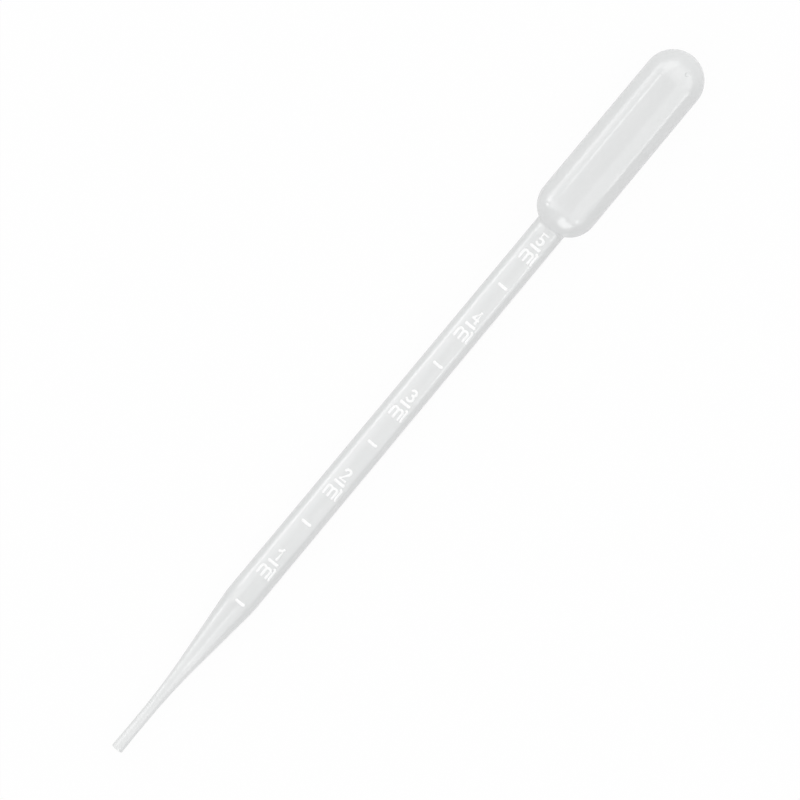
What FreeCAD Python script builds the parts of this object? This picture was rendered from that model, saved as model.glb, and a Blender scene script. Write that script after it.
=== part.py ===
import FreeCAD, Part
import math
import os
import Sketcher

# Plastic dropper pipette, blow-moulded in one piece: a straight drawn tip, a long taper, a slightly
# narrowing graduated tube and a squeeze bulb, open only at the tip. It is built along +X from the mouth
# of the tip, with its raised scale facing +Z and the lettering upright towards the bulb, and is then laid
# on its side as it comes to rest. Lengths are in millimetres.

NODE = "pipette"
SHEET = "Sizes"

SIZES = (
    # alias, value, what it is
    ("tip_length", 19.4, "straight drawn tip, from its mouth to the start of the taper"),
    ("taper_length", 27.8, "taper between the tip and the tube"),
    ("tube_length", 119.3, "tube, from the taper to the crease under the bulb"),
    ("bulb_length", 53.5, "bulb, from the crease to its closed end"),
    ("mouth_diameter", 2.94, "outside of the tip at its mouth, where it was cut"),
    ("tip_diameter", 2.80, "outside of the tip above its mouth"),
    ("mouth_flare", 5.0, "length over which the tip narrows from its mouth"),
    ("tip_bore", 1.75, "bore of the tip"),
    ("tube_base_diameter", 8.20, "outside of the tube above the taper"),
    ("tube_top_diameter", 7.84, "outside of the tube under the bulb"),
    ("tube_base_wall", 0.57, "wall of the tube above the taper"),
    ("tube_top_wall", 0.32, "wall of the tube under the bulb"),
    ("bore_lag", 1.3, "how far the bore's taper lies above the taper outside"),
    ("neck_radius", 180.0, "rounding between the tip and the taper"),
    ("shoulder_radius", 30.0, "rounding between the taper and the tube"),
    ("crease_radius", 0.9, "rounding between the tube and the bulb"),
    ("bulb_diameter", 15.08, "outside of the bulb above its shoulder"),
    ("bulb_shoulder_radius", 7.0, "round lower end of the bulb"),
    ("bulb_draft", 0.08, "how much less the bulb's radius is at its round closed end"),
    ("bulb_wall", 0.42, "wall of the bulb"),
    ("mark_volume", 500.0, "volume between two marks of the scale, in cubic millimetres"),
    ("mark_height", 0.20, "how far the scale stands out of the tube"),
    ("mark_root", 0.15, "how deep the scale's strokes run into the wall"),
    ("mark_clearance", 0.60, "least gap from the scale to the crease"),
    ("tick_length", 3.15, "whole length of a numbered tick"),
    ("half_tick_length", 2.85, "whole length of a tick between two numbers"),
    ("tick_width", 0.85, "width of a tick"),
    ("stroke_width", 0.66, "width of a stroke of the lettering"),
    ("numeral_rise", 1.13, "from a tick up to the foot of its numeral's centre line"),
    ("numeral_height", 2.96, "height of a numeral's centre line"),
    ("numeral_width", 1.50, "width of a numeral's centre line"),
    ("letter_drop", 4.14, "from a tick down to the foot of its letters' centre line"),
    ("milli_height", 2.42, "height of the centre line of the letter m"),
    ("milli_pitch", 1.36, "distance between two legs of the letter m"),
    ("litre_height", 3.00, "height of the centre line of the letter l"),
    ("litre_gap", 0.80, "from the last leg of the letter m to the letter l"),
)

UP = FreeCAD.Vector(0, 0, 1)
PLACE_TOLERANCE = 1e-4
TEXT_TURN = FreeCAD.Rotation(UP, -90)  # upright lettering runs up the tube, towards the bulb
SEAM_TURN = FreeCAD.Rotation(FreeCAD.Vector(1, 0, 0), -90)  # seams of turned faces lie underneath
AXIS = -1  # a sketch's own horizontal axis, whose first point is the origin
START, END, CENTRE = 1, 2, 3

# Shapes of the lettering, as shares of a numeral's width or height, with angles in degrees.
ONE_STEM, ONE_FLAG, ONE_FLAG_HEIGHT = 0.10, -0.45, 0.72
TWO_RADIUS, TWO_HEAD, TWO_NECK = 0.48, 170, -35
THREE_UPPER, THREE_HEAD, THREE_TAIL = 0.23, 150, -145
FOUR_FOOT, FOUR_HEAD, FOUR_BAR = 0.35, 0.20, 0.30
FIVE_RADIUS, FIVE_CENTRE, FIVE_CORNER = 0.52, -0.02, -0.36
FIVE_NECK, FIVE_TAIL = 130, -140
LITRE_FLAG = 0.45  # of the gap before the letter l


class Length:
    """A length worked out from the sheet, as a number and as the expression that binds a size to it."""

    def __init__(self, number, text):
        self.number = number
        self.text = text

    def __add__(self, other):
        return Length(self.number + other.number, f"({self.text} + {other.text})")

    def __sub__(self, other):
        return Length(self.number - other.number, f"({self.text} - {other.text})")

    def times(self, share):
        return Length(self.number * share, f"({self.text} * {share})")

    def half(self):
        return self.times(0.5)


def write_sheet(doc):
    """Write the driving sizes to a spreadsheet, one row each, and return them as lengths by name."""
    sheet = doc.addObject("Spreadsheet::Sheet", SHEET)
    for row, (alias, value, meaning) in enumerate(SIZES, start=1):
        sheet.set(f"A{row}", alias)
        sheet.set(f"B{row}", str(value))
        sheet.set(f"C{row}", meaning)
        sheet.setAlias(f"B{row}", alias)
    doc.recompute()
    return {alias: Length(sheet.get(alias), f"{SHEET}.{alias}") for alias, _, _ in SIZES}


# Curves and sketch tools


def line(start, end):
    """A line between two points, each an (x, y) pair of numbers."""
    return Part.LineSegment(FreeCAD.Vector(*start, 0), FreeCAD.Vector(*end, 0))


def arc(centre, radius, first, last):
    """An arc, anticlockwise from one angle in degrees to another."""
    circle = Part.Circle(FreeCAD.Vector(*centre, 0), UP, radius)
    return Part.ArcOfCircle(circle, math.radians(first), math.radians(last))


def add(sketch, curve):
    """Add a curve to a sketch and return its number there."""
    return sketch.addGeometry(curve, False)


def relate(sketch, kind, *where):
    """Add a relation that has no size, such as Coincident or Tangent."""
    sketch.addConstraint(Sketcher.Constraint(kind, *where))


def bind(sketch, kind, *where, to):
    """Add a dimension to a sketch and bind it to a length."""
    index = sketch.addConstraint(Sketcher.Constraint(kind, *where, to.number))
    sketch.setExpression(f"Constraints[{index}]", to.text)


def pin(sketch, edge, end, x, y):
    """Hold one end of an edge at x along the axis and y out from it."""
    bind(sketch, "DistanceX", AXIS, START, edge, end, to=x)
    bind(sketch, "DistanceY", AXIS, START, edge, end, to=y)


def polyline(sketch, corners):
    """Joined lines through corners, each an (x, y) pair of lengths. The inner corners are pinned."""
    places = [(x.number, y.number) for x, y in corners]
    lines = [add(sketch, line(start, end)) for start, end in zip(places, places[1:])]
    for before, after, corner in zip(lines, lines[1:], corners[1:]):
        relate(sketch, "Coincident", before, END, after, START)
        pin(sketch, before, END, *corner)
    return lines


def round_corner(sketch, edge, radius):
    """Round the corner at an edge's end. The corner itself stays as a point on both edges."""
    rounding = sketch.GeometryCount
    sketch.fillet(edge, END, radius.number, True, True)
    bind(sketch, "Radius", rounding, to=radius)
    return rounding


def round_crease(sketch, straight, curved, corner, radius):
    """Round the corner where a line ends on an arc, and hold the corner as a point on both of them."""
    place = FreeCAD.Vector(corner[0].number, corner[1].number, 0)
    curve = sketch.Geometry[curved]
    on_straight = place - FreeCAD.Vector(radius.number, 0, 0)
    on_curved = curve.value(curve.LastParameter - radius.number / curve.Radius)
    sketch.fillet(straight, curved, on_straight, on_curved, radius.number, True, False)
    bind(sketch, "Radius", sketch.GeometryCount - 1, to=radius)
    held = sketch.addGeometry(Part.Point(place), True)
    relate(sketch, "PointOnObject", held, START, straight)
    relate(sketch, "PointOnObject", held, START, curved)
    pin(sketch, held, START, *corner)


def body_sketch(doc, name):
    """A body and a sketch on its XY plane, whose x runs along the pipette and y out from its axis."""
    body = doc.addObject("PartDesign::Body", name)
    sketch = body.newObject("Sketcher::SketchObject", name + "_section")
    plane = next(feature for feature in body.Origin.OriginFeatures if feature.Role == "XY_Plane")
    sketch.AttachmentSupport = [(plane, "")]
    sketch.MapMode = "FlatFace"
    return body, sketch


def revolve(body, sketch):
    """Turn a half section all the way round the pipette's axis."""
    turned = body.newObject("PartDesign::Revolution", body.Name + "_turned")
    turned.Profile = sketch
    turned.ReferenceAxis = (sketch, ["H_Axis"])
    turned.Angle = 360
    body.Placement = FreeCAD.Placement(FreeCAD.Vector(), SEAM_TURN)


# The moulded shell


class Outline:
    """Places along the pipette that several features share."""

    def __init__(self, size):
        self.mouth = Length(0, "0")
        self.tip_end = size["tip_length"]
        self.taper_end = self.tip_end + size["taper_length"]
        self.tube_end = self.taper_end + size["tube_length"]
        self.closed_end = self.tube_end + size["bulb_length"]
        self.bore_tip_end = self.tip_end + size["bore_lag"]
        self.bore_taper_end = self.taper_end + size["bore_lag"]
        self.bulb_radius = size["bulb_diameter"].half()
        self.crown_radius = self.bulb_radius - size["bulb_draft"]
        self.tip_bore = size["tip_bore"].half()
        self.tip_radius = size["tip_diameter"].half()
        self.base_radius = size["tube_base_diameter"].half()
        self.top_radius = size["tube_top_diameter"].half()
        self.base_bore = self.base_radius - size["tube_base_wall"]
        self.top_bore = self.top_radius - size["tube_top_wall"]


def bulb_half(sketch, outline, tube_radius, bulb_radius, shoulder_radius, crown_radius):
    """One side of the bulb's wall: shoulder arc, side and crown arc, from the tube to the axis."""
    shoulder_y = bulb_radius.number - shoulder_radius.number
    rise = tube_radius.number - shoulder_y
    shoulder_x = outline.tube_end.number + math.sqrt(shoulder_radius.number**2 - rise**2)
    crown_x = outline.closed_end.number - crown_radius.number
    crease_angle = 180 - math.degrees(math.asin(rise / shoulder_radius.number))
    shoulder = add(sketch, arc((shoulder_x, shoulder_y), shoulder_radius.number, 90, crease_angle))
    side = add(sketch, line((shoulder_x, bulb_radius.number), (crown_x, crown_radius.number)))
    crown = add(sketch, arc((crown_x, 0), crown_radius.number, 0, 90))
    relate(sketch, "Tangent", shoulder, START, side, START)
    relate(sketch, "Tangent", side, END, crown, END)
    relate(sketch, "PointOnObject", crown, START, AXIS)
    bind(sketch, "Radius", shoulder, to=shoulder_radius)
    bind(sketch, "Radius", crown, to=crown_radius)
    return shoulder, crown


def shell(doc, size, outline):
    """The hollow pipette without its scale, turned from a half section of its wall."""
    body, sketch = body_sketch(doc, "shell")
    outside = polyline(
        sketch,
        [
            (outline.mouth, outline.tip_bore),
            (outline.mouth, size["mouth_diameter"].half()),
            (size["mouth_flare"], outline.tip_radius),
            (outline.tip_end, outline.tip_radius),
            (outline.taper_end, outline.base_radius),
            (outline.tube_end, outline.top_radius),
        ],
    )
    mouth, _, tip, taper, tube = outside
    pin(sketch, mouth, START, outline.mouth, outline.tip_bore)
    shoulder, crown = bulb_half(
        sketch,
        outline,
        outline.top_radius,
        outline.bulb_radius,
        size["bulb_shoulder_radius"],
        outline.crown_radius,
    )
    relate(sketch, "Coincident", tube, END, shoulder, END)
    bind(sketch, "DistanceY", AXIS, START, shoulder, START, to=outline.bulb_radius)
    relate(sketch, "PointOnObject", crown, CENTRE, AXIS)
    bind(sketch, "DistanceX", AXIS, START, crown, START, to=outline.closed_end)

    inner_shoulder, inner_crown = bulb_half(
        sketch,
        outline,
        outline.top_bore,
        outline.bulb_radius - size["bulb_wall"],
        size["bulb_shoulder_radius"] - size["bulb_wall"],
        outline.crown_radius - size["bulb_wall"],
    )
    relate(sketch, "Coincident", inner_shoulder, CENTRE, shoulder, CENTRE)
    relate(sketch, "Coincident", inner_crown, CENTRE, crown, CENTRE)
    bore = polyline(
        sketch,
        [
            (outline.tube_end, outline.top_bore),
            (outline.bore_taper_end, outline.base_bore),
            (outline.bore_tip_end, outline.tip_bore),
            (outline.mouth, outline.tip_bore),
        ],
    )
    tube_bore, taper_bore, tip_bore = bore
    bind(sketch, "DistanceY", AXIS, START, tube_bore, START, to=outline.top_bore)
    relate(sketch, "Coincident", inner_shoulder, END, tube_bore, START)
    relate(sketch, "Coincident", tip_bore, END, mouth, START)
    inner_end = outline.closed_end - size["bulb_wall"]
    end_wall = add(sketch, line((outline.closed_end.number, 0), (inner_end.number, 0)))
    relate(sketch, "Coincident", end_wall, START, crown, START)
    relate(sketch, "Coincident", end_wall, END, inner_crown, START)

    round_corner(sketch, tip, size["neck_radius"])
    tube_shoulder = round_corner(sketch, taper, size["shoulder_radius"])
    round_crease(
        sketch, tube, shoulder, (outline.tube_end, outline.top_radius), size["crease_radius"]
    )
    round_corner(sketch, tube_bore, size["shoulder_radius"])
    round_corner(sketch, taper_bore, size["neck_radius"])
    revolve(body, sketch)
    doc.recompute()
    return body, sketch.Geometry[tube_shoulder], sketch.Geometry[shoulder], sketch.Geometry[crown]


# The raised scale


def frustum_volume(first_radius, last_radius, length):
    """The volume of a round bore that changes evenly from one radius to another."""
    squares = first_radius**2 + first_radius * last_radius + last_radius**2
    return math.pi * length * squares / 3


def bore_volume(outline, place):
    """The volume of the bore between the mouth of the tip and a place along the pipette."""
    stations = [
        (outline.mouth.number, outline.tip_bore.number),
        (outline.bore_tip_end.number, outline.tip_bore.number),
        (outline.bore_taper_end.number, outline.base_bore.number),
        (outline.tube_end.number, outline.top_bore.number),
    ]
    total = 0
    for (start, start_radius), (end, end_radius) in zip(stations, stations[1:]):
        filled = min(max(place - start, 0), end - start)
        reached = start_radius + (end_radius - start_radius) * filled / (end - start)
        total += frustum_volume(start_radius, reached, filled)
    return total


def place_for_volume(outline, volume):
    """The place along the pipette at which its bore holds a volume, found by halving."""
    low, high = outline.mouth.number, outline.tube_end.number
    while high - low > PLACE_TOLERANCE:
        middle = (low + high) / 2
        if bore_volume(outline, middle) < volume:
            low = middle
        else:
            high = middle
    return high


def scale_places(size, outline, count):
    """Where the marks of a scale of count numerals lie: (half steps, place), as far as the tube has room."""
    room = outline.tube_end.number - size["mark_clearance"].number
    numeral_top = (size["numeral_rise"] + size["numeral_height"] + size["stroke_width"].half()).number
    places = []
    for step in range(1, 2 * count + 1):
        place = place_for_volume(outline, step * size["mark_volume"].number)
        top = numeral_top if step % 2 == 0 else size["tick_width"].half().number
        if place + top <= room:
            places.append((step, place))
    return places


def scale_band(doc, size, outline):
    """A coaxial band that the scale's strokes are cut to: it follows the tube from root to top."""
    body, sketch = body_sketch(doc, "scale_band")
    stations = [
        (outline.tip_end, outline.tip_radius),
        (outline.taper_end, outline.base_radius),
        (outline.tube_end, outline.top_radius),
    ]
    over = [(place, radius + size["mark_height"]) for place, radius in stations]
    under = [(place, radius - size["mark_root"]) for place, radius in reversed(stations)]
    corners = over + under
    lines = polyline(sketch, corners + corners[:1])
    relate(sketch, "Coincident", lines[-1], END, lines[0], START)
    pin(sketch, lines[0], START, *corners[0])
    revolve(body, sketch)
    return body


# Lettering is drawn upright, (across, up) from the middle of its foot, as the centre lines of strokes.


def on_arc(centre, radius, angle):
    """The (across, up) point of an arc at an angle in degrees."""
    turn = math.radians(angle)
    return centre[0] + radius * math.cos(turn), centre[1] + radius * math.sin(turn)


def slot(start, end, width):
    """The closed outline of a level bar with round ends."""
    (left, up), (right, _) = start, end
    half = width / 2
    return [
        line((left, up + half), (right, up + half)),
        arc(end, half, -90, 90),
        line((right, up - half), (left, up - half)),
        arc(start, half, 90, 270),
    ]


def numeral_one(width, height):
    top = (ONE_STEM * width, height)
    return [
        line((ONE_FLAG * width, ONE_FLAG_HEIGHT * height), top),
        line(top, (ONE_STEM * width, 0)),
    ]


def numeral_two(width, height):
    radius = TWO_RADIUS * width
    centre = (0, height - radius)
    foot = (-width / 2, 0)
    return [
        arc(centre, radius, TWO_NECK, TWO_HEAD),
        line(on_arc(centre, radius, TWO_NECK), foot),
        line(foot, (width / 2, 0)),
    ]


def numeral_three(width, height):
    upper = THREE_UPPER * height
    lower = height / 2 - upper
    return [
        arc((0, height - upper), upper, -90, THREE_HEAD),
        arc((0, lower), lower, THREE_TAIL, 90),
    ]


def numeral_four(width, height):
    top = (FOUR_HEAD * width, height)
    return [line((FOUR_FOOT * width, 0), top), line(top, four_bar(width, height)[0])]


def four_bar(width, height):
    """The two ends of the numeral four's bar, which is a stroke of its own."""
    return (-width / 2, FOUR_BAR * height), (width / 2, FOUR_BAR * height)


def numeral_five(width, height):
    radius = FIVE_RADIUS * width
    centre = (FIVE_CENTRE * width, radius)
    corner = (FIVE_CORNER * width, height)
    return [
        line((width / 2, height), corner),
        line(corner, on_arc(centre, radius, FIVE_NECK)),
        arc(centre, radius, FIVE_TAIL, FIVE_NECK),
    ]


def letter_legs(size):
    """Where the three legs of the letter m and the stem of the letter l stand, across the scale."""
    pitch, gap = size["milli_pitch"].number, size["litre_gap"].number
    first = -(2 * pitch + gap) / 2
    return first, first + pitch, first + 2 * pitch, first + 2 * pitch + gap


def milli_first(size):
    """The letter m's first leg, first arch and middle leg."""
    left, middle, _, _ = letter_legs(size)
    radius = size["milli_pitch"].number / 2
    spring = size["milli_height"].number - radius
    return [
        line((left, 0), (left, spring)),
        arc((left + radius, spring), radius, 0, 180),
        line((middle, spring), (middle, 0)),
    ]


def milli_second(size):
    """The letter m's second arch and last leg."""
    _, middle, right, _ = letter_legs(size)
    radius = size["milli_pitch"].number / 2
    spring = size["milli_height"].number - radius
    return [arc((middle + radius, spring), radius, 0, 180), line((right, spring), (right, 0))]


def litre(size):
    """The letter l, with a short flag at its head and a short foot."""
    *_, stem = letter_legs(size)
    flag = LITRE_FLAG * size["litre_gap"].number
    height = size["litre_height"].number
    return [
        line((stem - flag, height), (stem, height - flag)),
        line((stem, height - flag), (stem, flag)),
        line((stem, flag), (stem + flag / 2, 0)),
    ]


def draw(sketch, place, rise, curves):
    """Draw upright lettering on the scale, its foot a rise above the tick at a place along the tube."""
    onto_scale = FreeCAD.Placement(FreeCAD.Vector(place + rise, 0, 0), TEXT_TURN).toMatrix()
    for curve in curves:
        curve.transform(onto_scale)
        relate(sketch, "Block", add(sketch, curve))


def raise_up(doc, name, outline_object):
    """Stand closed outlines up from the pipette's middle plane to above its tube."""
    block = doc.addObject("Part::Extrusion", name + "_block")
    block.Base = outline_object
    block.DirMode = "Custom"
    block.Dir = UP
    block.setExpression("LengthFwd", f"{SHEET}.tube_base_diameter")
    block.Solid = True
    return block


def stroke_block(doc, name, sketch):
    """Widen a sketch of centre lines to strokes with round ends, and stand them up."""
    widened = doc.addObject("Part::Offset2D", name + "_strokes")
    widened.Source = sketch
    widened.Mode = "Pipe"
    widened.Join = "Arc"
    widened.setExpression("Value", f"{SHEET}.stroke_width / 2")
    return raise_up(doc, name, widened)


def scale(doc, size, outline):
    """The raised scale: ticks, numerals and letters, cut to a band that follows the tube."""
    names = ("numerals", "milli_first", "milli_second", "litre", "ticks")
    sketches = {name: doc.addObject("Sketcher::SketchObject", name) for name in names}
    width, height = size["numeral_width"].number, size["numeral_height"].number
    rise, drop = size["numeral_rise"].number, size["letter_drop"].number
    numerals = (numeral_one, numeral_two, numeral_three, numeral_four, numeral_five)
    tick_width = size["tick_width"].number
    for step, place in scale_places(size, outline, len(numerals)):
        numbered = step % 2 == 0
        tick = size["tick_length" if numbered else "half_tick_length"].number
        reach = (tick - tick_width) / 2
        draw(sketches["ticks"], place, 0, slot((-reach, 0), (reach, 0), tick_width))
        if numbered:
            numeral = numerals[step // 2 - 1]
            draw(sketches["numerals"], place, rise, numeral(width, height))
            draw(sketches["milli_first"], place, -drop, milli_first(size))
            draw(sketches["milli_second"], place, -drop, milli_second(size))
            draw(sketches["litre"], place, -drop, litre(size))
            if numeral is numeral_four:
                bar = slot(*four_bar(width, height), size["stroke_width"].number)
                draw(sketches["ticks"], place, rise, bar)
    blocks = [raise_up(doc, "ticks", sketches["ticks"])]
    blocks += [stroke_block(doc, name, sketches[name]) for name in names[:-1]]
    doc.recompute()

    lettering = doc.addObject("Part::MultiFuse", "scale_blocks")
    lettering.Shapes = blocks
    marks = doc.addObject("Part::Common", "scale")
    marks.Base = lettering
    marks.Tool = scale_band(doc, size, outline)
    return marks


# The whole pipette, laid down


def rest_placement(outline, tube_shoulder, bulb_shoulder, crown, mouth_radius):
    """Lay the pipette on its side as it rests, its scale up and its base's middle at the origin.

    It touches the floor under the round shoulder of its tube and the round shoulder of its bulb, so the
    floor is the line that touches both of those arcs in the pipette's lower half.
    """
    along = bulb_shoulder.Center.x - tube_shoulder.Center.x
    out = bulb_shoulder.Center.y - tube_shoulder.Center.y
    growth = bulb_shoulder.Radius - tube_shoulder.Radius
    tilt = math.atan2(out, along) + math.asin(growth / math.hypot(along, out))
    floor = (
        bulb_shoulder.Center.x * math.sin(tilt)
        - bulb_shoulder.Center.y * math.cos(tilt)
        - bulb_shoulder.Radius
    )
    lowest_x = -mouth_radius * math.sin(tilt)
    highest_x = crown.Center.x * math.cos(tilt) + crown.Radius
    turn = FreeCAD.Rotation(FreeCAD.Vector(0, 1, 0), -math.degrees(tilt))
    return FreeCAD.Placement(FreeCAD.Vector(-(lowest_x + highest_x) / 2, 0, -floor), turn)


def check(doc, pipette):
    """Stop if any object failed or the pipette isn't one valid solid."""
    for item in doc.Objects:
        if "Invalid" in item.State or "Error" in item.State:
            raise RuntimeError(f"{item.Name} failed: {item.State}")
    shape = pipette.Shape
    if shape.isNull() or not shape.isValid() or len(shape.Solids) != 1:
        raise RuntimeError("the pipette is not one valid solid")


def main():
    doc = FreeCAD.newDocument("Pipette")
    size = write_sheet(doc)
    outline = Outline(size)
    body, tube_shoulder, bulb_shoulder, crown = shell(doc, size, outline)
    marks = scale(doc, size, outline)
    pipette = doc.addObject("Part::MultiFuse", NODE)
    pipette.Label = NODE
    pipette.Shapes = [body, marks]
    pipette.Refine = True
    pipette.Placement = rest_placement(
        outline, tube_shoulder, bulb_shoulder, crown, size["mouth_diameter"].half().number
    )
    doc.recompute()
    check(doc, pipette)
    os.makedirs("parts", exist_ok=True)
    pipette.Shape.exportStep(os.path.join("parts", pipette.Label + ".step"))
    print(f"{NODE}: {pipette.Shape.Volume:.1f} mm3, box {pipette.Shape.BoundBox}")


main()
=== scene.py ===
"""Looks of a plastic dropper pipette, blow-moulded in one piece and lying on its side.

The pipette has its own coordinates: a place along its axis from the mouth of the tip, and a distance
out from that axis. The scale faces up. Its lettering stands upright towards the bulb and reads towards
-Y. Sizes are in metres, except the scale's own, which are in millimetres.
"""

import logging
import math
from dataclasses import dataclass, field
from enum import Enum

import bpy
from mathutils import Matrix, Vector


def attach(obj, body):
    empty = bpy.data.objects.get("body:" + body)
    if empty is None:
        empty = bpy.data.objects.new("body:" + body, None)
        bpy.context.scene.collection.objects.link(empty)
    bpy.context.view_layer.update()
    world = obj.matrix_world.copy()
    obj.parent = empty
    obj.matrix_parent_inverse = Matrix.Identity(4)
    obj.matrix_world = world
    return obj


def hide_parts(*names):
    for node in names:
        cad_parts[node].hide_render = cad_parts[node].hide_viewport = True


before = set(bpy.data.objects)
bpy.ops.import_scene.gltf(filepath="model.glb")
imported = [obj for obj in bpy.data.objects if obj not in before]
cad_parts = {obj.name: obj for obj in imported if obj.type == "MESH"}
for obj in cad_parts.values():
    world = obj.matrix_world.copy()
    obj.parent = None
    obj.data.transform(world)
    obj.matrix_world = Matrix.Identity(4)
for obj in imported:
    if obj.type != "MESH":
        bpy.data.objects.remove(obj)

LOG = logging.getLogger("pipette")
MM = 0.001
NODE = "pipette"
WHITE = (1.0, 1.0, 1.0, 1.0)
SAME_POINT = 1e-7
# First input, second input and output of a mix node, whose sockets share their names.
NUMBER_SOCKETS = (2, 3, 0)
COLOUR_SOCKETS = (6, 7, 2)

Point = tuple[float, float]


# Lie of the pipette


@dataclass(frozen=True)
class Lie:
    """How the pipette's own axis lies in the row frame.

    Attributes:
        mouth: Middle of the mouth of the tip.
        tilt: Rise of the axis towards the bulb, in degrees.
    """

    mouth: tuple[float, float, float] = (-109.93894 * MM, 0.0, 2.76171 * MM)
    tilt: float = 1.58605

    @property
    def along(self) -> Vector:
        """Direction of the axis, from the tip towards the bulb."""
        turn = math.radians(self.tilt)
        return Vector((math.cos(turn), 0.0, math.sin(turn)))

    @property
    def out(self) -> Vector:
        """Direction square to the axis that the scale faces."""
        turn = math.radians(self.tilt)
        return Vector((-math.sin(turn), 0.0, math.cos(turn)))

    def place(self, along: float, across: float = 0.0, out: float = 0.0) -> Vector:
        """Find a point of the pipette in the row frame.

        Args:
            along: Place along the axis, from the mouth of the tip.
            across: Distance to the reading side, towards -Y.
            out: Distance from the axis, towards the scale.

        Returns:
            The point in the row frame.
        """
        aside = Vector((0.0, -across, 0.0))
        return Vector(self.mouth) + self.along * along + aside + self.out * out

    def matrix(self) -> Matrix:
        """Matrix from the pipette's coordinates (along, -across, out) to the row frame."""
        rise = Matrix.Rotation(-math.radians(self.tilt), 4, "Y")
        return Matrix.Translation(Vector(self.mouth)) @ rise


# Mesh tools


def deselect_all() -> None:
    """Leave no object selected."""
    for item in bpy.context.selected_objects:
        item.select_set(False)


def make_active(item: bpy.types.Object) -> None:
    """Select one object alone and make it the active one."""
    deselect_all()
    item.select_set(True)
    bpy.context.view_layer.objects.active = item


def apply_modifiers(item: bpy.types.Object) -> None:
    """Apply every modifier of an object, in order."""
    make_active(item)
    for modifier in list(item.modifiers):
        bpy.ops.object.modifier_apply(modifier=modifier.name)


def apply_place(item: bpy.types.Object) -> None:
    """Move an object's place, turn and scale into its mesh."""
    make_active(item)
    bpy.ops.object.transform_apply(location=True, rotation=True, scale=True)


def chain(name: str, points: list[Vector]) -> bpy.types.Object:
    """Extrude one vertex from point to point.

    Args:
        name: Name of the new object.
        points: Points that the chain of edges goes through.

    Returns:
        A mesh object of edges, placed at the origin.
    """
    deselect_all()
    bpy.ops.mesh.primitive_plane_add(size=1.0, location=points[0])
    item = bpy.context.active_object
    item.name = item.data.name = name
    bpy.ops.object.mode_set(mode="EDIT")
    bpy.ops.mesh.select_all(action="SELECT")
    bpy.ops.mesh.merge(type="CENTER")
    for before, after in zip(points, points[1:]):
        bpy.ops.mesh.extrude_vertices_move(TRANSFORM_OT_translate={"value": after - before})
    bpy.ops.object.mode_set(mode="OBJECT")
    apply_place(item)
    return item


def spin(item: bpy.types.Object, centre: Vector, axis: Vector, steps: int, weld: float) -> None:
    """Spin a closed chain of edges all the way round an axis into one closed skin.

    Args:
        item: The chain.
        centre: A point of the axis.
        axis: Direction of the axis.
        steps: How many steps it takes all the way round.
        weld: Distance under which two points become one.
    """
    make_active(item)
    bpy.ops.object.mode_set(mode="EDIT")
    bpy.ops.mesh.select_all(action="SELECT")
    bpy.ops.mesh.spin(steps=steps, angle=2 * math.pi, center=centre, axis=axis)
    bpy.ops.mesh.select_all(action="SELECT")
    bpy.ops.mesh.remove_doubles(threshold=weld)
    bpy.ops.mesh.normals_make_consistent(inside=False)
    bpy.ops.object.mode_set(mode="OBJECT")


def join(name: str, items: list[bpy.types.Object]) -> bpy.types.Object:
    """Join two or more objects into one and name it."""
    deselect_all()
    for item in items:
        item.select_set(True)
    bpy.context.view_layer.objects.active = items[0]
    bpy.ops.object.join()
    items[0].name = items[0].data.name = name
    return items[0]


def cut(item: bpy.types.Object, tool: bpy.types.Object, operation: str) -> None:
    """Cut an object with another one, which is then removed.

    Args:
        item: The object that is cut.
        tool: The object that cuts it.
        operation: DIFFERENCE, INTERSECT or UNION.
    """
    boolean = item.modifiers.new("cut", "BOOLEAN")
    boolean.operation = operation
    boolean.solver = "EXACT"
    boolean.object = tool
    apply_modifiers(item)
    bpy.data.objects.remove(tool)


# Section of the wall


@dataclass
class Section:
    """A chain of (along, out) points, added to stretch by stretch."""

    points: list[Point] = field(default_factory=list)

    def add(self, point: Point) -> None:
        """Add a point, unless the chain already ends there."""
        if not self.points or math.dist(self.points[-1], point) > SAME_POINT:
            self.points.append(point)

    def straight(self, end: Point, steps: int = 1) -> None:
        """Add a straight stretch to a point, in equal steps."""
        start = self.points[-1]
        for step in range(1, steps + 1):
            share = step / steps
            along = start[0] + (end[0] - start[0]) * share
            self.add((along, start[1] + (end[1] - start[1]) * share))

    def arc(self, centre: Point, radius: float, first: float, last: float, steps: int) -> None:
        """Add a round stretch.

        Args:
            centre: Centre of the arc.
            radius: Its radius.
            first: Angle that it starts at, in degrees from the axis.
            last: Angle that it ends at.
            steps: How many edges it has.
        """
        for step in range(steps + 1):
            turn = math.radians(first + (last - first) * step / steps)
            self.add((centre[0] + radius * math.cos(turn), centre[1] + radius * math.sin(turn)))

    def rounded(self, corner: Point, end: Point, radius: float, steps: int) -> None:
        """Add a stretch to a corner, round it, and stop at the end of the rounding.

        Args:
            corner: Where the two straight stretches would meet.
            end: A point that the second stretch heads for.
            radius: Radius of the rounding.
            steps: How many edges the rounding has.
        """
        here, there = Vector(self.points[-1]) - Vector(corner), Vector(end) - Vector(corner)
        half = here.angle(there) / 2
        here.normalize()
        there.normalize()
        centre = Vector(corner) + (here + there).normalized() * (radius / math.sin(half))
        first = Vector(corner) + here * (radius / math.tan(half)) - centre
        last = Vector(corner) + there * (radius / math.tan(half)) - centre
        start = math.degrees(math.atan2(first.y, first.x))
        sweep = math.degrees(first.angle_signed(last))
        self.arc(tuple(centre), radius, start, start - sweep, steps)


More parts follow.
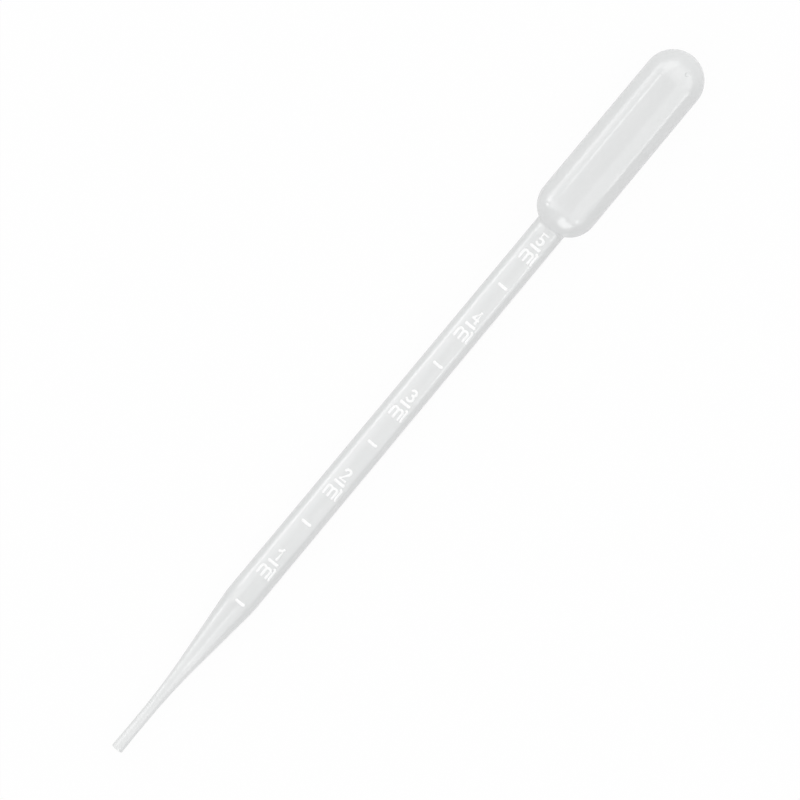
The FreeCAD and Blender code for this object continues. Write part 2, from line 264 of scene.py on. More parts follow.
@dataclass(frozen=True)
class Sizes:
    """Sizes that the wall and the scale share."""

    tip_length: float = 19.4 * MM
    taper_length: float = 27.8 * MM
    tube_length: float = 119.3 * MM
    bulb_length: float = 53.5 * MM
    mouth_radius: float = 1.47 * MM
    tip_radius: float = 1.40 * MM
    mouth_flare: float = 5.0 * MM
    tip_bore: float = 0.875 * MM
    base_radius: float = 4.10 * MM
    top_radius: float = 3.92 * MM
    base_wall: float = 0.57 * MM
    top_wall: float = 0.32 * MM
    bore_lag: float = 1.3 * MM
    neck_radius: float = 180.0 * MM
    shoulder_radius: float = 30.0 * MM
    crease_radius: float = 0.9 * MM
    bulb_radius: float = 7.54 * MM
    bulb_draft: float = 0.08 * MM
    bulb_shoulder: float = 7.0 * MM
    bulb_wall: float = 0.42 * MM

    @property
    def taper_end(self) -> float:
        """Place where the taper meets the tube."""
        return self.tip_length + self.taper_length

    @property
    def tube_end(self) -> float:
        """Place of the crease under the bulb."""
        return self.taper_end + self.tube_length

    @property
    def closed_end(self) -> float:
        """Place of the closed end of the bulb."""
        return self.tube_end + self.bulb_length

    def tube_radius(self, along: float) -> float:
        """Outside radius of the tube at a place along it."""
        share = (along - self.taper_end) / self.tube_length
        return self.base_radius + (self.top_radius - self.base_radius) * share


# Finishes


class Ray(Enum):
    """Kinds of ray that look at a thing."""

    CAMERA = "Is Camera Ray"
    GLOSSY = "Is Glossy Ray"
    TRANSMISSION = "Is Transmission Ray"


class Links:
    """Nodes of a material or of the world, added one by one and linked by socket."""

    def __init__(self, owner: bpy.types.Material | bpy.types.World) -> None:
        """Start with only the output.

        Args:
            owner: The material or the world.
        """
        owner.use_nodes = True
        self.tree = owner.node_tree
        self.tree.nodes.clear()
        kind = "World" if isinstance(owner, bpy.types.World) else "Material"
        self.output = self.tree.nodes.new("ShaderNodeOutput" + kind)

    def node(
        self, kind: str, values: dict[str, object] | None = None, **settings: object
    ) -> bpy.types.Node:
        """Add a node.

        Args:
            kind: Type of the node.
            values: Values of its unlinked inputs, by name.
            **settings: Its other settings, such as operation.

        Returns:
            The new node.
        """
        node = self.tree.nodes.new(kind)
        for key, value in settings.items():
            setattr(node, key, value)
        for key, value in (values or {}).items():
            node.inputs[key].default_value = value
        return node

    def link(self, source: bpy.types.NodeSocket, target: bpy.types.NodeSocket) -> None:
        """Link an output to an input."""
        self.tree.links.new(source, target)

    def sum(self, operation: str, first: object, second: object) -> bpy.types.NodeSocket:
        """Work out one number from two.

        Args:
            operation: Name of the operation.
            first: A number or an output.
            second: A number or an output.

        Returns:
            The output with the result.
        """
        node = self.node("ShaderNodeMath", operation=operation)
        for place, value in enumerate((first, second)):
            if isinstance(value, bpy.types.NodeSocket):
                self.link(value, node.inputs[place])
            else:
                node.inputs[place].default_value = value
        return node.outputs[0]

    def share_of_rays(self, shares: dict[Ray, float]) -> bpy.types.NodeSocket:
        """Tell the rays that look at a thing from the light that falls on it.

        Args:
            shares: Share for each kind of ray that looks.

        Returns:
            The output with that share, which is 0 for light that reaches matt surfaces.
        """
        rays = self.node("ShaderNodeLightPath")
        result: object = 0.0
        for ray, share in shares.items():
            seen = self.sum("MULTIPLY", rays.outputs[ray.value], share)
            result = self.sum("MAXIMUM", result, seen)
        return result


@dataclass(frozen=True)
class Polyethylene:
    """Natural low-density polyethylene: milky, translucent, with a soft gloss.

    Attributes:
        name: Name of the material.
        pale: Colour where the plastic is clear of bubbles and flow marks.
        cloudy: Colour of its faint clouds.
        clearness: Share of the light that passes through it where it is thin.
        roughness: Least roughness of its skin.
        gloss: Strength of the thin smooth layer that gives sharp reflections.
        grain: Depth of the fine unevenness of the skin.
        ripple: Depth of the slow waves that drawing leaves in it.
        haze: Density at which it takes light away, per metre.
        haze_colour: Colour that is left after a long way through it.
        thick_part: Stretch of the frame's X over which it goes from milky to clear, which also keeps
            noise out of the tip.
        drawn: Fineness of the clouds and waves along and across the pipette, which drawing stretches.
        cloud_scale: Fineness of the clouds.
        skin_scale: Fineness of the skin's unevenness.
        wave_scale: Fineness of the slow waves.
        unevenness: How much rougher the roughest spots are.
        refraction: Refractive index.
        gloss_roughness: Roughness of the thin smooth layer.
    """

    name: str
    pale: tuple[float, float, float, float]
    cloudy: tuple[float, float, float, float]
    clearness: float
    roughness: float
    gloss: float
    grain: float
    ripple: float
    haze: float
    haze_colour: tuple[float, float, float, float]
    thick_part: Point = (-88.0 * MM, -58.0 * MM)
    drawn: tuple[float, float, float] = (0.22, 1.0, 1.0)
    cloud_scale: float = 420.0
    skin_scale: float = 2600.0
    wave_scale: float = 180.0
    unevenness: float = 0.06
    refraction: float = 1.51
    gloss_roughness: float = 0.04

    def material(self) -> bpy.types.Material:
        """Build the material's nodes.

        Returns:
            The new material.
        """
        material = bpy.data.materials.new(self.name)
        tree = Links(material)
        place = tree.node("ShaderNodeTexCoord")
        drawn = tree.node("ShaderNodeMapping", {"Scale": self.drawn})
        tree.link(place.outputs["Object"], drawn.inputs["Vector"])

        clouds = tree.node(
            "ShaderNodeTexNoise", {"Scale": self.cloud_scale, "Detail": 3.0, "Roughness": 0.55}
        )
        tree.link(drawn.outputs["Vector"], clouds.inputs["Vector"])
        first, second, mixed = COLOUR_SOCKETS
        colour = tree.node("ShaderNodeMix", data_type="RGBA")
        colour.inputs[first].default_value = self.pale
        colour.inputs[second].default_value = self.cloudy
        spread = tree.node(
            "ShaderNodeMapRange",
            {"From Min": 0.35, "From Max": 0.65},
            interpolation_type="SMOOTHSTEP",
        )
        tree.link(clouds.outputs["Fac"], spread.inputs["Value"])
        tree.link(spread.outputs["Result"], colour.inputs["Factor"])

        skin = tree.node(
            "ShaderNodeTexNoise", {"Scale": self.skin_scale, "Detail": 2.0, "Roughness": 0.5}
        )
        tree.link(place.outputs["Object"], skin.inputs["Vector"])
        rough = tree.node(
            "ShaderNodeMapRange",
            {
                "From Min": 0.3,
                "From Max": 0.7,
                "To Min": self.roughness,
                "To Max": self.roughness + self.unevenness,
            },
        )
        tree.link(skin.outputs["Fac"], rough.inputs["Value"])

        waves = tree.node(
            "ShaderNodeTexNoise", {"Scale": self.wave_scale, "Detail": 1.0, "Roughness": 0.4}
        )
        tree.link(drawn.outputs["Vector"], waves.inputs["Vector"])
        wavy = tree.node("ShaderNodeBump", {"Strength": 1.0, "Distance": self.ripple})
        tree.link(waves.outputs["Fac"], wavy.inputs["Height"])
        grainy = tree.node("ShaderNodeBump", {"Strength": 1.0, "Distance": self.grain})
        tree.link(skin.outputs["Fac"], grainy.inputs["Height"])
        tree.link(wavy.outputs["Normal"], grainy.inputs["Normal"])

        shader = tree.node(
            "ShaderNodeBsdfPrincipled",
            {
                "IOR": self.refraction,
                "Coat Weight": self.gloss,
                "Coat Roughness": self.gloss_roughness,
            },
        )
        tree.link(colour.outputs[mixed], shader.inputs["Base Color"])
        tree.link(rough.outputs["Result"], shader.inputs["Roughness"])
        tree.link(grainy.outputs["Normal"], shader.inputs["Normal"])
        tree.link(shader.outputs["BSDF"], tree.output.inputs["Surface"])
        if self.clearness > 0:
            lengthwise = tree.node("ShaderNodeSeparateXYZ")
            tree.link(place.outputs["Object"], lengthwise.inputs[0])
            clear = tree.node(
                "ShaderNodeMapRange",
                {
                    "From Min": self.thick_part[0],
                    "From Max": self.thick_part[1],
                    "To Max": self.clearness,
                },
                interpolation_type="SMOOTHSTEP",
            )
            tree.link(lengthwise.outputs["X"], clear.inputs["Value"])
            tree.link(clear.outputs["Result"], shader.inputs["Transmission Weight"])
        if self.haze > 0:
            volume = tree.node(
                "ShaderNodeVolumeAbsorption", {"Color": self.haze_colour, "Density": self.haze}
            )
            tree.link(volume.outputs["Volume"], tree.output.inputs["Volume"])
        return material


WALL_FINISH = Polyethylene(
    name="polyethylene_wall",
    pale=(0.77, 0.778, 0.778, 1.0),
    cloudy=(0.755, 0.765, 0.765, 1.0),
    clearness=0.06,
    roughness=0.29,
    gloss=0.6,
    grain=0.0006 * MM,
    ripple=0.003 * MM,
    haze=60.0,
    haze_colour=(0.62, 0.66, 0.67, 1.0),
)
SCALE_FINISH = Polyethylene(
    name="polyethylene_scale",
    pale=(0.96, 0.96, 0.96, 1.0),
    cloudy=(0.94, 0.945, 0.945, 1.0),
    clearness=0.0,
    roughness=0.35,
    gloss=0.0,
    grain=0.0006 * MM,
    ripple=0.0,
    haze=0.0,
    haze_colour=WHITE,
)


# The moulded wall


@dataclass
class Wall:
    """The hollow wall of tip, taper, tube and bulb, turned from one closed section.

    Attributes:
        sizes: Sizes of the pipette.
        lie: How it lies in the row frame.
        turns: How many steps it takes all the way round.
        weld: Distance under which two points of the spun section become one.
        smooth: Angle between faces under which their edge is shaded smooth, in degrees.
        lead: How far above the taper the finely stepped stretch of the tube ends.
        rim: Rounding of the cut edge of the mouth.
        gate_size: Length, width and depth of the small oval dimple in the bulb's end.
        gate_way: Direction of that dimple from the middle of the round end, in the pipette's
            coordinates.
    """

    sizes: Sizes
    lie: Lie
    turns: int = 128
    weld: float = 0.002 * MM
    smooth: float = 35.0
    lead: float = 3.5 * MM
    rim: float = 0.06 * MM
    gate_size: tuple[float, float, float] = (1.8 * MM, 1.1 * MM, 0.24 * MM)
    gate_way: tuple[float, float, float] = (4.77, -1.38, 5.62)

    def bulb_arcs(self, section: Section, inset: float, outwards: bool) -> None:
        """Add the bulb's shoulder, side and round end, or the same stretches backwards.

        Args:
            section: The section to add to.
            inset: Distance in from the bulb's outside.
            outwards: True from the axis to the crease, False from the crease to the axis.
        """
        s = self.sizes
        crown = s.bulb_radius - s.bulb_draft
        crown_centre = (s.closed_end - crown, 0.0)
        shoulder_centre = (self.shoulder_along(), s.bulb_radius - s.bulb_shoulder)
        side = (s.bulb_radius - crown) / (crown_centre[0] - shoulder_centre[0])
        square = 90.0 - math.degrees(math.atan(side))
        crease = self.crease_angle() if inset == 0 else self.inner_crease_angle(inset)
        round_end, shoulder = crown - inset, s.bulb_shoulder - inset
        across, up = math.cos(math.radians(square)), math.sin(math.radians(square))
        if outwards:
            section.arc(crown_centre, round_end, 0.0, square, steps=30)
            foot = (shoulder_centre[0] + shoulder * across, shoulder_centre[1] + shoulder * up)
            section.straight(foot, steps=16)
            section.arc(shoulder_centre, shoulder, square, crease, steps=16)
        else:
            section.arc(shoulder_centre, shoulder, crease, square, steps=12)
            top = (crown_centre[0] + round_end * across, round_end * up)
            section.straight(top, steps=16)
            section.arc(crown_centre, round_end, square, 0.0, steps=24)

    def shoulder_along(self) -> float:
        """Place of the centre of the bulb's shoulder."""
        s = self.sizes
        rise = s.top_radius - (s.bulb_radius - s.bulb_shoulder)
        return s.tube_end + math.sqrt(s.bulb_shoulder**2 - rise**2)

    def crease_centre(self) -> Point:
        """Centre of the rounding between the tube and the bulb."""
        s = self.sizes
        out = s.top_radius + s.crease_radius
        rise = out - (s.bulb_radius - s.bulb_shoulder)
        reach = s.bulb_shoulder + s.crease_radius
        return self.shoulder_along() - math.sqrt(reach**2 - rise**2), out

    def crease_angle(self) -> float:
        """Angle on the bulb's shoulder at which the crease begins, in degrees."""
        s = self.sizes
        along, out = self.crease_centre()
        rise = out - (s.bulb_radius - s.bulb_shoulder)
        return math.degrees(math.atan2(rise, along - self.shoulder_along()))

    def inner_crease_angle(self, inset: float) -> float:
        """Angle on the inside of the bulb's shoulder at which the tube's bore meets it."""
        s = self.sizes
        rise = (s.top_radius - s.top_wall) - (s.bulb_radius - s.bulb_shoulder)
        return 180.0 - math.degrees(math.asin(rise / (s.bulb_shoulder - inset)))

    def section(self) -> Section:
        """Trace the wall from the bulb's outer pole, round the mouth, to the bulb's inner pole."""
        s = self.sizes
        line = Section()
        self.bulb_arcs(line, 0.0, True)
        start = self.crease_angle() - 180.0
        line.arc(self.crease_centre(), s.crease_radius, start, -90.0, steps=8)
        taper_end, tip_end = (s.taper_end, s.base_radius), (s.tip_length, s.tip_radius)
        above = s.taper_end + self.lead
        line.straight((above, s.tube_radius(above)), steps=48)
        line.rounded(taper_end, tip_end, s.shoulder_radius, steps=8)
        line.rounded(tip_end, (s.mouth_flare, s.tip_radius), s.neck_radius, steps=16)
        line.straight((s.mouth_flare, s.tip_radius), steps=4)
        line.straight((self.rim, s.mouth_radius), steps=5)
        line.arc((self.rim, s.mouth_radius - self.rim), self.rim, 90.0, 180.0, steps=3)
        line.straight((0.0, s.tip_bore))
        bore_tip = (s.tip_length + s.bore_lag, s.tip_bore)
        bore_base = (s.taper_end + s.bore_lag, s.base_radius - s.base_wall)
        bore_top = (s.tube_end, s.top_radius - s.top_wall)
        line.straight((s.mouth_flare, s.tip_bore), steps=2)
        line.rounded(bore_tip, bore_base, s.neck_radius, steps=16)
        line.rounded(bore_base, bore_top, s.shoulder_radius, steps=8)
        line.straight(bore_top, steps=32)
        self.bulb_arcs(line, s.bulb_wall, False)
        return line

    def gate(self) -> bpy.types.Object:
        """A small flat ball that the dimple in the bulb's end is cut with."""
        length, width, depth = self.gate_size
        crown = self.sizes.bulb_radius - self.sizes.bulb_draft
        way = Vector(self.gate_way).normalized()
        centre = Vector((self.sizes.closed_end - crown, 0.0, 0.0)) + way * crown
        deselect_all()
        bpy.ops.mesh.primitive_uv_sphere_add(segments=32, ring_count=16, radius=0.5)
        ball = bpy.context.active_object
        turn = way.to_track_quat("Z", "X").to_matrix().to_4x4()
        sized = Matrix.Diagonal((length, width, 2 * depth, 1.0))
        ball.matrix_world = self.lie.matrix() @ Matrix.Translation(centre) @ turn @ sized
        apply_place(ball)
        return ball

    def build(self) -> bpy.types.Object:
        """Spin the section into the wall.

        Returns:
            The wall, as one closed mesh.
        """
        points = [self.lie.place(along, 0.0, out) for along, out in self.section().points]
        wall = chain("pipette_wall", points)
        spin(wall, self.lie.place(0.0), self.lie.along, self.turns, self.weld)
        cut(wall, self.gate(), "DIFFERENCE")
        make_active(wall)
        bpy.ops.object.shade_smooth_by_angle(angle=math.radians(self.smooth))
        return wall


# The raised scale


class Mark(Enum):
    """The two kinds of tick on the scale."""

    NUMBERED = "numbered"
    HALF = "half"


@dataclass(frozen=True)
class Stroke:
    """One stroke of a ball-ended cutter.

    Attributes:
        path: (across, up) points of its middle line.
        width: Width of the ridge at the tube's surface.
    """

    path: list[Point]
    width: float


def bow(centre: Point, radius: float, first: float, last: float, steps: int = 14) -> list[Point]:
    """Points on an arc of a stroke, by angle in degrees.

    Args:
        centre: Centre of the arc.
        radius: Its radius.
        first: Angle that it starts at.
        last: Angle that it ends at.
        steps: How many edges it has.

    Returns:
        The points, in order.
    """
    turns = [math.radians(first + (last - first) * step / steps) for step in range(steps + 1)]
    return [
        (centre[0] + radius * math.cos(turn), centre[1] + radius * math.sin(turn)) for turn in turns
    ]


@dataclass
class Scale:
    """The raised scale: ticks, numerals and letters, as round ridges of the same plastic.

    Its own sizes are in millimetres, and each finished piece is scaled down to metres.

    Attributes:
        sizes: Sizes of the pipette, in metres.
        lie: How it lies in the row frame.
        places: Place of each mark along the tube, the halves first.
        height: How far the ridges stand out of the tube.
        root: How far they run into the wall.
        stroke: Width of a stroke of the lettering.
        tick: Width of a tick.
        tick_lengths: Whole length of each kind of tick.
        rise: From a tick up to the foot of its numeral's middle line.
        drop: From a tick down to the foot of its letters' middle line.
        numeral: Width and height of a numeral's middle line.
        milli: Pitch of the legs and height of the letter m.
        litre: Gap before the letter l and its height.
        grid: Size of the cells that the ridges are merged on.
        sharp: Turn of a stroke that gets a ball at its corner, in degrees.
        below: How far under the tube's start the band begins.
        clear: How far the band stands off the tube.
        band_turns: How many steps the band takes all the way round.
        weld: Distance under which two points of the band become one.
        smooth: Angle between faces under which their edge is shaded smooth, in degrees.
    """

    sizes: Sizes
    lie: Lie
    places: tuple[float, ...] = (
        47.86, 60.62, 73.31, 85.95, 98.53, 111.07, 123.55, 135.98, 148.36, 160.69,
    )
    height: float = 0.20
    root: float = 0.12
    stroke: float = 0.66
    tick: float = 0.85
    tick_lengths: dict[Mark, float] = field(
        default_factory=lambda: {Mark.NUMBERED: 3.15, Mark.HALF: 2.85}
    )
    rise: float = 1.13
    drop: float = 4.14
    numeral: tuple[float, float] = (1.50, 2.96)
    milli: tuple[float, float] = (1.36, 2.42)
    litre: tuple[float, float] = (0.80, 3.00)
    grid: float = 0.055
    sharp: float = 25.0
    below: float = 6.0
    clear: float = 1.0
    band_turns: int = 180
    weld: float = 1e-4
    smooth: float = 50.0

    def numeral_strokes(self, value: int) -> list[Stroke]:
        """Strokes of a numeral from 1 to 5, upright from the middle of its foot.

        Its points are given as shares of the numeral's width and height.

        Args:
            value: The numeral.

        Returns:
            Its strokes, in millimetres.
        """
        w, h = self.numeral
        if value == 1:
            paths = [[(-0.45 * w, 0.72 * h), (-0.12 * w, 0.84 * h), (0.10 * w, h), (0.10 * w, 0.0)]]
        elif value == 2:
            r = 0.48 * w
            paths = [bow((0.0, h - r), r, 170.0, -35.0) + [(-w / 2, 0.0), (w / 2, 0.0)]]
        elif value == 3:
            upper = 0.23 * h
            lower = h / 2 - upper
            paths = [
                bow((0.0, h - upper), upper, 150.0, -90.0),
                bow((0.0, lower), lower, 90.0, -145.0),
            ]
        elif value == 4:
            paths = [
                [(0.35 * w, 0.0), (0.20 * w, h), (-w / 2, 0.3 * h)],
                [(-w / 2, 0.3 * h), (w / 2, 0.3 * h)],
            ]
        else:
            r = 0.52 * w
            bowl = bow((-0.02 * w, r), r, 130.0, -140.0, 20)
            paths = [[(w / 2, h), (-0.36 * w, h)] + bowl]
        return [Stroke(path, self.stroke) for path in paths]

    def unit_strokes(self) -> list[Stroke]:
        """Strokes of the letters m and l, upright from the middle of their foot."""
        pitch, height = self.milli
        gap, tall = self.litre
        left = -(2 * pitch + gap) / 2
        legs = [left, left + pitch, left + 2 * pitch]
        stem = legs[2] + gap
        r = pitch / 2
        spring = height - r
        first = [(legs[0], 0.0), (legs[0], spring)]
        arches = [
            bow((leg + r, spring), r, 180.0, 0.0) + [(after, 0.0)]
            for leg, after in zip(legs, legs[1:])
        ]
        flag = 0.45 * gap
        letter_l = [(stem - flag, tall), (stem, tall - flag), (stem, flag), (stem + flag / 2, 0.0)]
        return [Stroke(path, self.stroke) for path in [first, *arches, letter_l]]

    def ridge(self, stroke: Stroke, along: float, rise: float) -> list[bpy.types.Object]:
        """Lay one stroke on the tube as a round ridge with round ends.

        Args:
            stroke: The stroke, upright on a flat scale.
            along: Place of its tick along the tube, in millimetres.
            rise: How far its foot is above the tick, in millimetres.

        Returns:
            The ridge and the balls at its ends and corners, in millimetres.
        """
        half = stroke.width / 2
        ball = (half**2 + self.height**2) / (2 * self.height)
        points = []
        for across, up in stroke.path:
            place = along + rise + up
            radius = self.sizes.tube_radius(place * MM) / MM
            turn = across / radius
            middle = radius + self.height - ball
            points.append(Vector((place, -middle * math.sin(turn), middle * math.cos(turn))))
        made = chain("ridge", points)
        make_active(made)
        bpy.ops.object.convert(target="CURVE")
        made.data.bevel_depth = ball
        made.data.bevel_resolution = 5
        made.data.use_fill_caps = True
        bpy.ops.object.convert(target="MESH")
        balls = []
        for point in self.corners(points):
            deselect_all()
            bpy.ops.mesh.primitive_ico_sphere_add(subdivisions=3, radius=ball, location=point)
            balls.append(bpy.context.active_object)
        return [made, *balls]

    def corners(self, points: list[Vector]) -> list[Vector]:
        """The ends of a path and the points where it turns sharply."""
        found = [points[0], points[-1]]
        for before, here, after in zip(points, points[1:], points[2:]):
            if (here - before).angle(after - here) > math.radians(self.sharp):
                found.append(here)
        return found

    def band(self) -> bpy.types.Object:
        """The ring that the ridges are cut to, from their root to above their tops."""
        s = self.sizes
        start, end = (s.taper_end - self.below * MM) / MM, s.tube_end / MM
        top, bottom = self.clear, -self.root
        corners = []
        for place, gap in ((start, top), (end, top), (end, bottom), (start, bottom)):
            corners.append(Vector((place, 0.0, s.tube_radius(place * MM) / MM + gap)))
        ring = chain("band", corners + corners[:1])
        spin(ring, Vector((0.0, 0.0, 0.0)), Vector((1.0, 0.0, 0.0)), self.band_turns, self.weld)
        return ring

    def merge(self, name: str, strokes: list[bpy.types.Object]) -> bpy.types.Object:
        """Merge ridges into one closed skin, cut it to the band and lay it on the pipette.

        Args:
            name: Name of the finished piece.
            strokes: Ridges and balls, in millimetres.

        Returns:
            The finished piece, in the row frame.
        """
        piece = join(name, strokes)
        remesh = piece.modifiers.new("merge", "REMESH")
        remesh.mode = "VOXEL"
        remesh.voxel_size = self.grid
        smooth = piece.modifiers.new("even", "SMOOTH")
        smooth.factor = 0.5
        smooth.iterations = 2
        apply_modifiers(piece)
        cut(piece, self.band(), "INTERSECT")
        piece.matrix_world = self.lie.matrix() @ Matrix.Scale(MM, 4)
        apply_place(piece)
        bpy.ops.object.shade_smooth_by_angle(angle=math.radians(self.smooth))
        return piece

    def copies(self, model: bpy.types.Object, home: float, places: list[float]) -> bpy.types.Object:
        """Copy a finished mark to its other places along the tube, which narrows a little.

        Args:
            model: The mark, with its tick at home.
            home: Place of its tick along the tube, in millimetres.
            places: Places of all the ticks that the mark belongs to, in millimetres.

        Returns:
            The mark and its copies, joined.
        """
        made = [model]
        for place in places:
            if place == home:
                continue
            make_active(model)
            bpy.ops.object.duplicate(linked=False)
            narrower = self.sizes.tube_radius(place * MM) - self.sizes.tube_radius(home * MM)
            way = self.lie.along * (place - home) * MM + self.lie.out * narrower
            bpy.ops.transform.translate(value=way)
            made.append(bpy.context.active_object)
        for item in made:
            apply_place(item)
        return join(model.name, made)

    def build(self) -> list[bpy.types.Object]:
        """Model the whole scale.

        Returns:
            The two kinds of tick, the numerals and the letters, each as one piece.
        """
        pieces = []
        halves, numbered = list(self.places[0::2]), list(self.places[1::2])
        for kind, places in ((Mark.HALF, halves), (Mark.NUMBERED, numbered)):
            home = places[len(places) // 2]
            reach = (self.tick_lengths[kind] - self.tick) / 2
            stroke = Stroke([(-reach, 0.0), (0.0, 0.0), (reach, 0.0)], self.tick)
            tick = self.merge(f"scale_ticks_{kind.value}", self.ridge(stroke, home, 0.0))
            pieces.append(self.copies(tick, home, places))
        numerals = []
        for value, place in enumerate(numbered, start=1):
            for stroke in self.numeral_strokes(value):
                numerals += self.ridge(stroke, place, self.rise)
        pieces.append(self.merge("scale_numerals", numerals))
        home = numbered[len(numbered) // 2]
        letters = []
        for stroke in self.unit_strokes():
            letters += self.ridge(stroke, home, -self.drop)
        pieces.append(self.copies(self.merge("scale_letters", letters), home, numbered))
        return pieces


# Studio


@dataclass(frozen=True)
class Strip:
    """A long soft lamp parallel to the pipette.

    Attributes:
        name: Name of the lamp.
        side: Angle from straight above, towards -Y, in degrees.
        start: Where it starts along the pipette, from the mouth of the tip.
        end: Where it ends.
        width: Its width as the pipette sees it, in degrees.
        glow: Its brightness, where 1 is as bright as white paper in the same light.
    """

    name: str
    side: float
    start: float
    end: float
    width: float
    glow: float


# Stretches of the lamps along the pipette, from the mouth of the tip. Seen aslant, a lamp is mirrored
# far from the stretch that it hangs over, so each is named after the part that mirrors it.
BULB, TUBE = (-0.021, 0.42), (-0.141, -0.021)
TIP, CONE = (-0.225, -0.141), (-0.345, -0.225)
CROWN, SHOULDER = (0.42, 2.6), (-1.4, -0.345)
# Name, side, start, end, width and glow of each lamp.
STRIPS = [
    Strip("bulb_left_low", -92.0, *BULB, 26.0, 2.1),
    Strip("bulb_left", -76.0, *BULB, 14.0, 1.0),
    Strip("bulb_left_line", -53.0, 0.0, 0.36, 5.0, 4.2),
    Strip("bulb_right", 44.0, *BULB, 50.0, 1.15),
    Strip("bulb_right_line", 73.0, 0.006, 0.30, 8.0, 3.8),
    Strip("crown_left", -70.0, *CROWN, 50.0, 1.5),
    Strip("crown_top", 5.0, *CROWN, 80.0, 0.7),
    Strip("crown_right", 62.0, *CROWN, 34.0, 1.4),
    Strip("shoulder_right", 34.0, *SHOULDER, 66.0, 3.0),
    Strip("tube_left_low", -90.0, *TUBE, 28.0, 2.8),
    Strip("tube_left", -64.0, *TUBE, 22.0, 1.7),
    Strip("tube_left_high", -38.0, *TUBE, 32.0, 1.3),
    Strip("tube_left_line", -74.0, *TUBE, 7.0, 3.5),
    Strip("tube_top", 0.0, *TUBE, 44.0, 0.8),
    Strip("tube_right", 50.0, *TUBE, 56.0, 1.1),
    Strip("tube_right_line", 60.0, -0.07, -0.021, 7.0, 5.5),
    Strip("cone_left", -84.0, *CONE, 30.0, 1.5),
    Strip("cone_left_high", -60.0, *CONE, 18.0, 1.0),
    Strip("cone_left_line", -76.0, *CONE, 7.0, 4.0),
    Strip("tip_left", -46.0, *TIP, 32.0, 1.9),
]


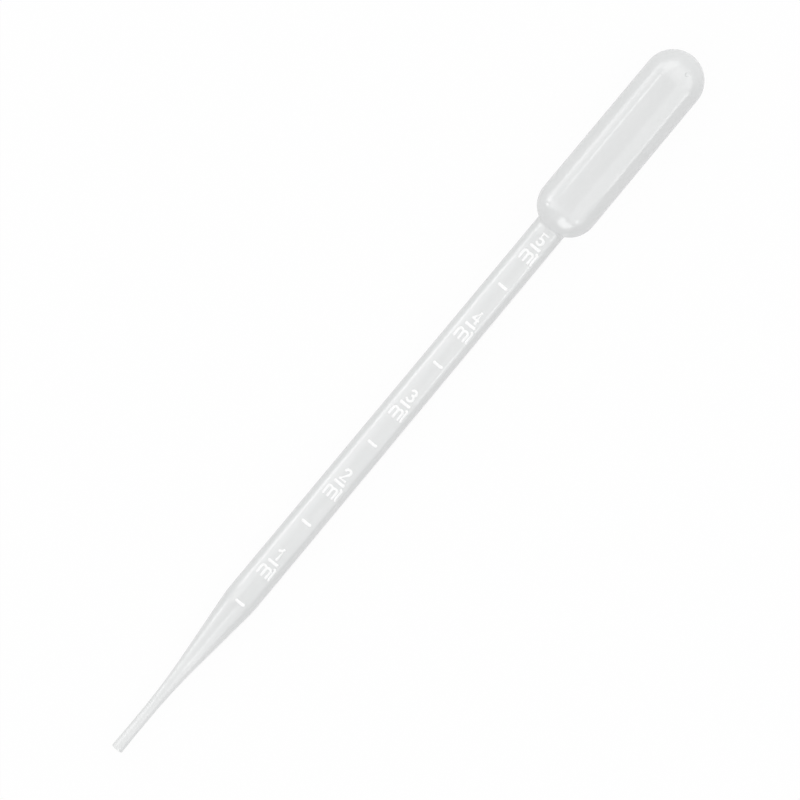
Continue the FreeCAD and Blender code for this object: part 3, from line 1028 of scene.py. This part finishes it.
@dataclass
class Studio:
    """Floor, lamps, sky and camera.

    Attributes:
        lie: How the pipette lies in the row frame.
        middle: Place along the pipette that the camera looks at.
        aside: How far beside the axis it looks, towards -Y.
        lean: Lean of the view towards the bulb, in degrees.
        sway: Turn of the view round the axis, towards +Y, in degrees.
        rise: Slope of the pipette in the view, in degrees.
        distance: Distance from the camera to the pipette.
        lens: Focal length of the camera, in millimetres.
        sensor: Width of the camera's sensor, in millimetres.
        view_end: Distance that the camera sees to.
        floor_size: Side of the square floor.
        lamp_distance: Distance from the lamps to the pipette.
        floor_tone: How pale the floor is for the light that falls on the pipette from it.
        floor_shares: Share of plain white in what each kind of ray sees of the floor.
        sky_shares: Share of plain white in what each kind of ray sees of the sky.
        sky_tones: How bright the sky is at each height, from 0 at the horizon to 1 straight above.
        sky_ends: How much brighter it is towards both ends of the pipette.
        sky_crown: How much brighter it is again towards the bulb's closed end.
        sky_side: How much brighter it is towards +Y.
    """

    lie: Lie
    middle: float = 110.12 * MM
    aside: float = -1.31 * MM
    lean: float = 14.0
    sway: float = 4.0
    rise: float = 50.23
    distance: float = 8.4
    lens: float = 1593.2
    sensor: float = 36.0
    view_end: float = 60.0
    floor_size: float = 8.0
    lamp_distance: float = 0.75
    floor_tone: float = 0.9
    floor_shares: dict[Ray, float] = field(
        default_factory=lambda: {Ray.CAMERA: 0.95, Ray.GLOSSY: 0.25, Ray.TRANSMISSION: 0.95}
    )
    sky_shares: dict[Ray, float] = field(
        default_factory=lambda: {Ray.CAMERA: 1.0, Ray.GLOSSY: 0.2, Ray.TRANSMISSION: 1.0}
    )
    sky_tones: list[Point] = field(
        default_factory=lambda: [(0.0, 0.26), (0.45, 0.78), (1.0, 0.82)]
    )
    sky_ends: float = 0.45
    sky_crown: float = 0.4
    sky_side: float = 0.1

    def camera(self) -> bpy.types.Object:
        """Place the camera above the pipette, with the tip at the lower left."""
        lean, sway, turn = (math.radians(angle) for angle in (self.lean, self.sway, self.rise))
        square = self.lie.out * math.cos(sway) + Vector((0.0, 1.0, 0.0)) * math.sin(sway)
        back = square * math.cos(lean) + self.lie.along * math.sin(lean)
        along = (self.lie.along - back * self.lie.along.dot(back)).normalized()
        across = along.cross(back)
        right = along * math.cos(turn) + across * math.sin(turn)
        up = along * math.sin(turn) - across * math.cos(turn)
        data = bpy.data.cameras.new("camera")
        data.lens = self.lens
        data.sensor_width = self.sensor
        data.clip_end = self.view_end
        camera = bpy.data.objects.new("camera", data)
        matrix = Matrix((right, up, back)).transposed().to_4x4()
        matrix.translation = self.lie.place(self.middle, self.aside) + back * self.distance
        camera.matrix_world = matrix
        bpy.context.scene.collection.objects.link(camera)
        bpy.context.scene.camera = camera
        return camera

    def floor(self) -> bpy.types.Object:
        """Lay the plain pale floor, which looks white and still takes the shadow."""
        deselect_all()
        bpy.ops.mesh.primitive_plane_add(size=self.floor_size, location=(0.0, 0.0, 0.0))
        floor = bpy.context.active_object
        floor.name = floor.data.name = "floor"
        material = bpy.data.materials.new("floor")
        tree = Links(material)
        matt = tree.node("ShaderNodeBsdfDiffuse", {"Color": (*(self.floor_tone,) * 3, 1.0)})
        white = tree.node("ShaderNodeEmission", {"Color": WHITE, "Strength": 1.0})
        both = tree.node("ShaderNodeMixShader")
        tree.link(tree.share_of_rays(self.floor_shares), both.inputs[0])
        tree.link(matt.outputs[0], both.inputs[1])
        tree.link(white.outputs[0], both.inputs[2])
        tree.link(both.outputs[0], tree.output.inputs["Surface"])
        floor.data.materials.append(material)
        return floor

    def lamp(self, strip: Strip) -> bpy.types.Object:
        """Hang one of the long lamps, which shows as a band of light along the plastic.

        Args:
            strip: Where it hangs and how bright it is.

        Returns:
            The new lamp.
        """
        width = 2.0 * self.lamp_distance * math.tan(math.radians(strip.width) / 2.0)
        length = strip.end - strip.start
        data = bpy.data.lights.new(strip.name, "AREA")
        data.shape = "RECTANGLE"
        data.size, data.size_y = length, width
        data.energy = strip.glow * math.pi * width * length
        turn = math.radians(strip.side)
        aside = Vector((0.0, 1.0, 0.0)) * math.sin(turn)
        back = (self.lie.out * math.cos(turn) - aside).normalized()
        across = back.cross(self.lie.along)
        middle = self.lie.place((strip.start + strip.end) / 2.0)
        matrix = Matrix((self.lie.along, across, back)).transposed().to_4x4()
        matrix.translation = middle + back * self.lamp_distance
        lamp = bpy.data.objects.new(strip.name, data)
        lamp.matrix_world = matrix
        lamp.visible_camera = lamp.visible_diffuse = lamp.visible_transmission = False
        bpy.context.scene.collection.objects.link(lamp)
        return lamp

    def sky(self) -> bpy.types.World:
        """Light everything softly, most from above, a little more from the ends and from +Y."""
        world = bpy.data.worlds.new("sky")
        bpy.context.scene.world = world
        tree = Links(world)
        place = tree.node("ShaderNodeTexCoord")
        way = tree.node("ShaderNodeSeparateXYZ")
        tree.link(place.outputs["Generated"], way.inputs[0])
        ramp = tree.node("ShaderNodeValToRGB")
        stops = ramp.color_ramp.elements
        for index, (height, tone) in enumerate(self.sky_tones):
            stop = stops[index] if index < len(stops) else stops.new(height)
            stop.position, stop.color = height, (tone, tone, tone, 1.0)
        tree.link(way.outputs["Z"], ramp.inputs["Fac"])
        ends = tree.sum("MULTIPLY", tree.sum("ABSOLUTE", way.outputs["X"], 0.0), self.sky_ends)
        ahead = tree.sum("MAXIMUM", way.outputs["X"], 0.0)
        crown = tree.sum("MULTIPLY", tree.sum("MULTIPLY", ahead, ahead), self.sky_crown)
        side = tree.sum("MULTIPLY", way.outputs["Y"], self.sky_side)
        extra = tree.sum("ADD", tree.sum("ADD", ends, crown), side)
        tone = tree.sum("ADD", ramp.outputs["Color"], extra)
        first, second, mixed = NUMBER_SOCKETS
        seen = tree.node("ShaderNodeMix", data_type="FLOAT")
        tree.link(tree.share_of_rays(self.sky_shares), seen.inputs["Factor"])
        tree.link(tone, seen.inputs[first])
        seen.inputs[second].default_value = 1.0
        light = tree.node("ShaderNodeBackground", {"Color": WHITE})
        tree.link(seen.outputs[mixed], light.inputs["Strength"])
        tree.link(light.outputs[0], tree.output.inputs["Surface"])
        return world

    def build(self) -> None:
        """Set up the whole studio."""
        self.floor()
        self.sky()
        for strip in STRIPS:
            self.lamp(strip)
        self.camera()


def dress(piece: bpy.types.Object, finish: Polyethylene) -> None:
    """Give a piece its finish and tie it to the pipette."""
    piece.data.materials.clear()
    piece.data.materials.append(finish.material())
    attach(piece, "root")


def main() -> None:
    """Build the pipette and its studio, and report each piece."""
    logging.basicConfig(level=logging.INFO, format="%(name)s: %(message)s")
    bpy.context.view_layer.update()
    sizes, lie = Sizes(), Lie()
    wall = Wall(sizes, lie).build()
    dress(wall, WALL_FINISH)
    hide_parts(NODE)
    LOG.info("%s: %d faces", wall.name, len(wall.data.polygons))
    for piece in Scale(sizes, lie).build():
        dress(piece, SCALE_FINISH)
        LOG.info("%s: %d faces", piece.name, len(piece.data.polygons))
    Studio(lie).build()
    bpy.context.scene.view_settings.view_transform = "Standard"


if __name__ == "__main__":
    main()
